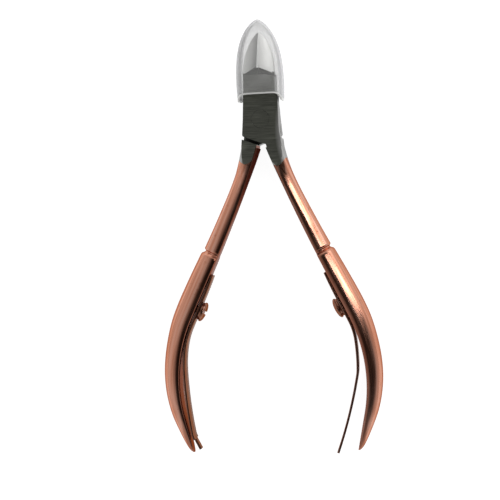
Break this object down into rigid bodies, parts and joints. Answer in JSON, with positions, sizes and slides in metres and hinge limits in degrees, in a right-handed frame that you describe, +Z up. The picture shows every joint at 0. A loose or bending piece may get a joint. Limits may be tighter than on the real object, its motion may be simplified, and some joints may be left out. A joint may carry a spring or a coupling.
{
  "type": "cuticle nipper",
  "caption": "Lap-jointed nail nipper with slim plated handles, unhooked leaf springs on slotted screws and a soft translucent cover over the closed jaws.",
  "frame": {"origin": "under the middle of the closed tool's bounding box, on the plane it lies on", "axes": "+Y along the tool towards the jaws, +Z up through the lap joint from the back face to the front face, +X towards the handle of the half that has the front lap"},
  "size_m": [0.0556, 0.1087, 0.0091],
  "materials": {
    "rose_gold_plate": "polished rose gold plating over stainless steel, streaked along the handles",
    "ground_steel": "fine ground dark stainless steel, brushed across the head",
    "clear_vinyl": "soft translucent milky vinyl"
  },
  "bodies": {
    "rear_half": {"rear_half": "rose_gold_plate", "pivot_rivet": "ground_steel", "left_spring_screw": "rose_gold_plate"},
    "front_half": {"front_half": "rose_gold_plate", "right_spring_screw": "rose_gold_plate"},
    "left_spring": {"left_leaf_spring": "rose_gold_plate"},
    "right_spring": {"right_leaf_spring": "rose_gold_plate"},
    "cover": {"tip_cover": "clear_vinyl"}
  },
  "joints": [
    {"name": "jaw_pivot", "type": "hinge", "parent": "rear_half", "child": "front_half", "pos_m": [0, 0.0297, 0.0035], "axis": [0, 0, 1], "range_deg": [0, 28]},
    {"name": "cover_slide", "type": "slide", "parent": "rear_half", "child": "cover", "axis": [0, 1, 0], "range_m": [0, 0.07]},
    {"name": "left_spring_swing", "type": "hinge", "parent": "rear_half", "child": "left_spring", "pos_m": [-0.0187, -0.01741, 0.0035], "axis": [-0.9026, 0.4305, 0], "range_deg": [0, 95]},
    {"name": "right_spring_swing", "type": "hinge", "parent": "front_half", "child": "right_spring", "pos_m": [0.0187, -0.01741, 0.0035], "axis": [-0.9026, -0.4305, 0], "range_deg": [0, 95]}
  ],
  "couplings": [
    {"joint": "cover_slide", "follows": "jaw_pivot", "m_per_rad": 0.14}
  ]
}
